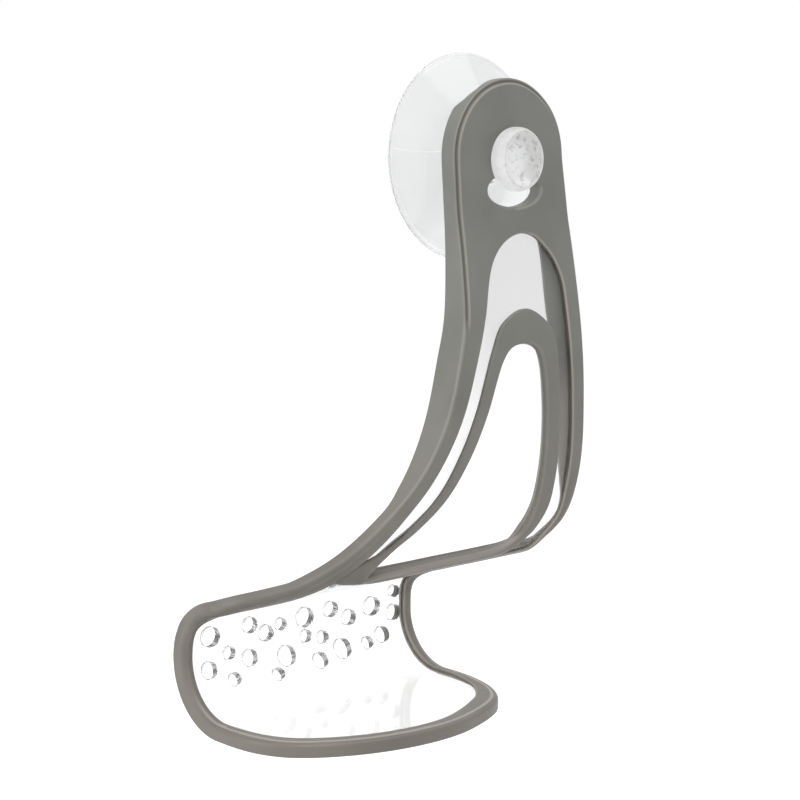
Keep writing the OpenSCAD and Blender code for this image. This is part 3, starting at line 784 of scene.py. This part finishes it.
def outer_trim():
    b = Build()
    head_grid = grid_points(-40, GRID_RIGHT, 110, 1.5, profile_rows(1.4, 0.8))
    rings = [0.05, 0.18, 0.38, 0.62, 0.9, 1.15, 1.35, 1.5, 1.65, 1.85, 2.1, 2.5, 3.1, 3.9]
    in_rings = [0.05, 0.15, 0.32, 0.55, 0.85, 1.3, 1.9]
    key_rings = [0.05, 0.18, 0.38, 0.62, 0.9, 1.25, 1.8, 2.6]
    v, f, front = surface(OUTER, [INNER, KEY], rings, [in_rings, key_rings], head_grid)
    top, tone = trim_face(v)
    b.add(PROFILE.point(v[:, 0], v[:, 1], top), f, tone=tone)
    # Underneath is a pocket for the sheet's edge, and then the back
    coarse = grid_points(GRID_LEFT, GRID_RIGHT, PROFILE.total, 3.0, profile_rows(2.0, 0.5))
    # The seat has painted shade along the trim's inner outline, and the ledge painted light low on the right
    # leg
    seat = layer(b, OUTER_EDGE, [INNER, KEY_EDGE], FRONT_SEAT, False, coarse, dark=1)
    ledge = layer(b, OUTER_EDGE, [INNER_BACK, KEY_EDGE], BACK_SEAT, True, coarse, pale=0.7)
    back_rings = [0.06, 0.25, 0.5, 0.9, 1.4, SKIRT_T - 0.45, SKIRT_T - 0.2, SKIRT_T - 0.04, SKIRT_T + 0.04]
    w, g, back = surface(OUTER, [INNER_BACK, KEY], back_rings, [[0.1, 0.4], [0.1, 0.4, 1.2]], coarse)
    base = b.add(trim_back(w), g[:, ::-1])
    back = [[base + i for i in row] for row in back]
    b.wall(front[0], corner_rows(b, front[0], back[0], (0.04, 0.35, 0.65, 0.96)), back[0])
    b.wall(front[2], corner_rows(b, front[2], back[2], (0.1, 0.9)), back[2], out=False)
    b.wall(front[1], [], seat[1], out=False)
    b.wall(seat[0], [], ledge[0], out=False)
    b.wall(seat[2], [], ledge[2])
    b.wall(ledge[1], [], back[1], out=False)
    o = b.object("outer_trim_soft", [TRIM], sharp=50)
    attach(o, "holder")
    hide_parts("outer_trim")


# Directions out of the window's outline, and the trim's wall there, which is thinner on the left
WINDOW_OUT = -np.array([left_of(q) for q in np.roll(HOLE, -1, 0) - np.roll(HOLE, 1, 0)])
OUT_X, OUT_Z = WINDOW_OUT.T
WINDOW_WALL = EDGE_WALL - 0.8 * smoothstep(0.34 * OUT_Z - 0.94 * OUT_X, 0.2, 0.7)[:, None]


def window_trim():
    b = Build()
    # The hole widens towards the back, on its right side and at its lower bar
    flare = 0.55 + 1.75 * smoothstep(0.94 * OUT_X + 0.34 * OUT_Z, 0.1, 0.95)
    flare += 1.2 * smoothstep(-OUT_Z, 0.5, 0.97)
    wide, hole_edge = HOLE + flare[:, None] * WINDOW_OUT, offset(HOLE, -WINDOW_WALL)
    rings = [0.05, 0.16, 0.34, 0.6, 0.95, 1.4]
    v, f, front = surface(HOLE_TRIM, [HOLE], rings, [rings], NO_GRID)
    do, di = distance(v, HOLE_TRIM), distance(v, HOLE)
    # The lower bar has a rounder outer side, and a painted highlight along its hole and painted shade
    # outside
    bar = smoothstep(-v[:, 1], CURL_START_S - 4, CURL_START_S - 1)
    outer_side = round_edge(do, 0.6 + 0.9 * bar, 0.55 - 0.5 * bar, TRIM_FRONT)
    top = np.minimum(outer_side, round_edge(di, 1.3, -0.4, TRIM_FRONT))
    tone = bar * (0.6 * (1 - smoothstep(di, 0.7, 1.1)) - 0.4 * (1 - smoothstep(do, 0.5, 1.2)))
    # On the right, a painted highlight near the hole and painted shade right at its edge
    line = 0.3 * (1 - smoothstep(np.abs(di - 0.8), 0.1, 0.3)) - 0.4 * (di < 0.3)
    tone += (1 - bar) * (v[:, 0] > 4) * line
    # A faint painted highlight along the trim's outer edge
    tone[do < 0.02] = 0.1
    b.add(PROFILE.point(v[:, 0], v[:, 1], top), f, tone=tone)
    coarse = grid_points(-80, GRID_RIGHT, 200, 3.0, profile_rows(2.0, 0.5))
    # The seat has painted shade along its outer outline
    seat = layer(b, HOLE_TRIM, [hole_edge], FRONT_SEAT, False, coarse, dark=0)
    ledge = layer(b, HOLE_BACK, [hole_edge], BACK_SEAT, True, coarse)
    w, g, back = surface(HOLE_BACK, [wide], [0.1, 0.35], [[0.1, 0.35]], coarse)
    eo, ei = distance(w, HOLE_BACK), distance(w, wide)
    # Beside the hole the lower bar's back is thinner
    thin = smoothstep(-w[:, 1], CURL_START_S - 4, CURL_START_S) * (1 - smoothstep(ei, 0, 1.2))
    edge = np.minimum(round_edge(eo, 0.3, -0.3, 0), round_edge(ei, 0.4, -0.3, 0)) - 0.55 * thin
    base = b.add(PROFILE.point(w[:, 0], w[:, 1], BACK - edge), g[:, ::-1])
    back = [[base + i for i in row] for row in back]
    b.wall(front[0], [], seat[0])
    b.wall(front[1], corner_rows(b, front[1], back[1], (0.1, 0.5, 0.9)), back[1], out=False)
    b.wall(seat[1], [], ledge[1])
    b.wall(ledge[0], [], back[0])
    o = b.object("window_trim_soft", [TRIM], sharp=50)
    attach(o, "holder")
    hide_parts("window_trim")


def drain_wall(front, back):
    """Rows of points down a drain hole, whose wall has two slight grooves."""
    rows = []
    for share in (0.16, 0.3, 0.42, 0.58, 0.7, 0.84):
        row = front + (back - front) * share
        centre = row.mean(0)
        rows.append(centre + (row - centre) * (1.025 if share in (0.3, 0.7) else 1.0))
    return rows


def clear_sheet():
    b = Build()
    way_down = BACK_RUN + BEND_R * 90 * RAD
    drains = [circle(-TRAY_RIGHT - across * tray_w, -(BACK_TOP_S + down * way_down), DRAIN_D[size] / 2, 0.3)
              for across, down, size in DRAIN]
    holes = [offset(HOLE, BITE - WINDOW_WALL), keyhole(KEY_WALL - BITE)] + drains
    first_drain = 3
    grid = grid_points(GRID_LEFT, GRID_RIGHT, PROFILE.total, 2.4, profile_rows(2.2, 0.35))
    hole_rings = [[], []] + [[0.12, 0.3]] * len(drains)
    v, f, ids = surface(offset(OUTER, EDGE_WALL - BITE), holes, [0.6], hole_rings, grid)
    from_drain = np.min([distance(v, q) for q in drains], axis=0)
    top = round_edge(from_drain, 0.25, -0.2, 0)
    b.add(PROFILE.point(v[:, 0], v[:, 1], top), f)
    base = b.add(PROFILE.point(v[:, 0], v[:, 1], -SHEET_T - top), f[:, ::-1])
    for k, front in enumerate(ids):
        back = [base + i for i in front]
        if k < first_drain:
            b.wall(front, [], back, out=(k == 0))
        else:
            points = np.vstack(b.v)
            # Drain walls take the grey of painted shade
            b.wall(front, drain_wall(points[front], points[back]), back, out=False, mat=1)
    o = b.object("clear_sheet_vinyl", [CLEAR, SHADED_CUT], sharp=35)
    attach(o, "holder")
    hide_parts("clear_body")


# Turned pieces with a mould seam along their middle
def turned(name, outline, mats, segments, seam, seam_from, face_from=None, sag=0.0):
    """Turns an outline of radius and forward distance about the cup's axis. The seam is a low ridge on
    what lies ahead of seam_from. The part ahead of the boss hangs down by sag. From the row numbered
    face_from on, the piece has its second material."""
    fine = np.array([0.25, SEAM_HALF, 1.0, 1.7])
    even = np.linspace(0, 180, segments // 2 + 1)[1:-1]
    even = even[(even > 2.6) & (even < 177.4)]
    half = np.concatenate([[0], fine, even, 180 - fine[::-1]])
    ang = np.concatenate([half, half + 180])
    lift = np.maximum(0.0, 1 - np.minimum(ang % 180, 180 - ang % 180) / SEAM_HALF)
    ang = ang + SEAM_TILT
    m = len(ang)
    b = Build()
    rings = []
    for r, n in outline:
        drop = sag * float(smoothstep(n, BOSS_FORWARD + 0.5, SHEET_FORWARD + 2))
        if r < 1e-6:
            rings.append([b.add([[0, -n, -drop]], [])])
            continue
        ridge = seam if n > seam_from else 0.0
        p = np.stack([r * np.cos(ang * RAD), -(n + ridge * lift), r * np.sin(ang * RAD) - drop], 1)
        first = b.add(p, [])
        rings.append([first + i for i in range(m)])
    for k, (a, c) in enumerate(zip(rings, rings[1:])):
        for i in range(m):
            j = (i + 1) % m
            if len(a) == 1:
                b.f.append((a[0], c[j], c[i]))
            elif len(c) == 1:
                b.f.append((a[i], a[j], c[0]))
            else:
                b.f.append((a[i], a[j], c[j], c[i]))
            b.mat.append(int(face_from is not None and k >= face_from))
    return b.object(name, mats, sharp=35)


def arc_points(c, r, a0, a1, n):
    """Points on an arc between two angles in degrees."""
    return [[c[0] + r * math.cos(a * RAD), c[1] + r * math.sin(a * RAD)] for a in np.linspace(a0, a1, n)]


def cup():
    crown = BOSS_FORWARD - FOOT_DEPTH
    out_r, boss_r, boss_round = CUP_D / 2, BOSS_D / 2, 0.6
    dome = catmull([[q[0] * out_r, q[1] * crown] for q in DOME], False, 12)
    dome = dome[(dome[:, 0] > boss_r + 1.2) & (dome[:, 0] < out_r - 1.5)]
    under = catmull([[q[0] * (out_r - RIM_LAND), q[1] * (crown - CUP_SKIN)] for q in DOME], False, 12)
    rim = [[out_r - 0.35, 0.0], [out_r - 0.1, 0.1], [out_r, 0.35], [out_r - 0.05, 0.7], [out_r - 0.35, 0.95],
           [out_r - 0.75, 1.0], [out_r - 1.15, 1.0]]
    foot = catmull([[boss_r + 1.2, float(dome[-1][1])], [boss_r + 0.35, crown + 0.15],
                    [boss_r, crown + 0.9]], False, 8)
    shoulder = (boss_r - boss_round, BOSS_FORWARD - boss_round)
    boss = [[boss_r, shoulder[1]]] + arc_points(shoulder, boss_round, 0, 90, 8)
    end = [[NECK_D / 2 + 1, BOSS_FORWARD], [0, BOSS_FORWARD]]
    outline = under[::-1].tolist() + rim + dome.tolist() + foot[1:].tolist() + boss + end
    o = turned("suction_cup_vinyl", outline, [MILKY], segments=256, seam=0.14, seam_from=1.05)
    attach(o, "cup")
    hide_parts("suction_cup")


def stud():
    r, neck, neck_round, gap = KNOB_D / 2, NECK_D / 2, 0.9, 0.02
    back = SHEET_FORWARD + TRIM_FRONT + KNOB_GAP
    front = back + KNOB_T
    side = catmull([[r * 0.86, back], [r * 0.95, back + 0.15], [r * 0.995, back + 0.8], [r, back + 1.9],
                    [r * 0.985, back + 3.3], [r * 0.93, front - 1.3], [r * 0.84, front - 0.62],
                    [r * 0.7, front - 0.3], [r * 0.45, front - 0.1], [r * 0.2, front - 0.02]], False, 8)
    outline = [[0, BOSS_FORWARD + gap], [neck, BOSS_FORWARD + gap], [neck, back - neck_round]]
    outline += arc_points((neck + neck_round, back - neck_round), neck_round, 180, 90, 8)
    outline += side.tolist() + [[0, front]]
    face = [k for k, q in enumerate(outline) if q[1] > front - 0.9][0]
    o = turned("cup_stud_vinyl", outline, [KNOB, FACE], segments=160, seam=0.12, seam_from=back + 2.5,
               face_from=face, sag=KNOB_SAG)
    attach(o, "stud")
    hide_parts("cup_stud")


outer_trim()
window_trim()
clear_sheet()
cup()
stud()


# The camera in degrees and millimetres, then the lamps and the floor in metres
CAMERA_TURN, CAMERA_RISE, CAMERA_DISTANCE, CAMERA_AIM = 42.743, 7.646, 522.19, (-45.345, -20.0, -69.97)
LENS, SENSOR, NEAREST, FARTHEST = 81.0, 36.0, 0.01, 50.0
LAMP_AIM, FLOOR_REACH, FLOOR_Z = (-0.045, -0.02, -0.07), 4.0, -0.28


def aimed(name, data, place, back):
    """An object at a place, looking away from the direction back."""
    o = bpy.data.objects.new(name, data)
    o.location = place
    o.rotation_euler = back.to_track_quat("Z", "Y").to_euler()
    bpy.context.scene.collection.objects.link(o)
    return o


def camera():
    a, e = CAMERA_TURN * RAD, CAMERA_RISE * RAD
    back = Vector((-math.cos(e) * math.sin(a), -math.cos(e) * math.cos(a), math.sin(e)))
    c = bpy.data.cameras.new("camera")
    c.sensor_width, c.lens = SENSOR, LENS
    c.clip_start, c.clip_end = NEAREST, FARTHEST
    place = Vector(CAMERA_AIM) * MM + back * CAMERA_DISTANCE * MM
    bpy.context.scene.camera = aimed("camera", c, place, back)


def background_rays(nt):
    """A factor that is 1 for rays that see the backdrop: from the camera, glossy or transmitted."""
    rays = node(nt, "ShaderNodeLightPath").outputs
    seen = math_result(nt, "MAXIMUM", rays["Is Camera Ray"], rays["Is Glossy Ray"])
    return math_result(nt, "MAXIMUM", seen, rays["Is Transmission Ray"])


def world():
    """Soft light all round, and a white backdrop for the rays that see it."""
    w = bpy.data.worlds.new("world")
    bpy.context.scene.world = w
    w.use_nodes = True
    nt = w.node_tree
    nt.nodes.clear()
    out = node(nt, "ShaderNodeOutputWorld")
    soft = node(nt, "ShaderNodeBackground", Strength=0.55, Color=WHITE)
    backdrop = node(nt, "ShaderNodeBackground", Strength=1.0, Color=WHITE)
    both = mixed_shader(nt, background_rays(nt), soft, backdrop)
    nt.links.new(both.outputs[0], out.inputs["Surface"])


def floor():
    """A pale floor that glows for the rays that see it and lights the object as a plain one."""
    m, nt, out = material("floor")
    plain = node(nt, "ShaderNodeBsdfDiffuse", Color=(0.86, 0.86, 0.86, 1))
    glow = node(nt, "ShaderNodeEmission", Strength=0.52, Color=WHITE)
    lit = node(nt, "ShaderNodeAddShader")
    nt.links.new(plain.outputs[0], lit.inputs[0])
    nt.links.new(glow.outputs[0], lit.inputs[1])
    both = mixed_shader(nt, background_rays(nt), plain, lit)
    nt.links.new(both.outputs[0], out.inputs["Surface"])
    me = bpy.data.meshes.new("floor")
    s, z = FLOOR_REACH, FLOOR_Z
    me.from_pydata([(-s, -s, z), (s, -s, z), (s, s, z), (-s, s, z)], [], [(0, 1, 2, 3)])
    me.materials.append(m)
    o = bpy.data.objects.new("floor", me)
    bpy.context.scene.collection.objects.link(o)


def lamp(name, place, size, power):
    d = bpy.data.lights.new(name, "AREA")
    d.shape = "RECTANGLE"
    d.size, d.size_y = size
    d.energy = power
    aimed(name, d, place, Vector(place) - Vector(LAMP_AIM))


camera()
world()
floor()
lamp("lamp_key", (-0.75, -0.75, 0.75), (0.7, 0.7), 6.0)
lamp("lamp_left", (-1.1, 0.25, 0.1), (0.35, 1.0), 4.8)
lamp("lamp_top", (0.05, -0.25, 1.0), (0.8, 0.5), 4.5)
bpy.context.scene.view_settings.view_transform = "Standard"
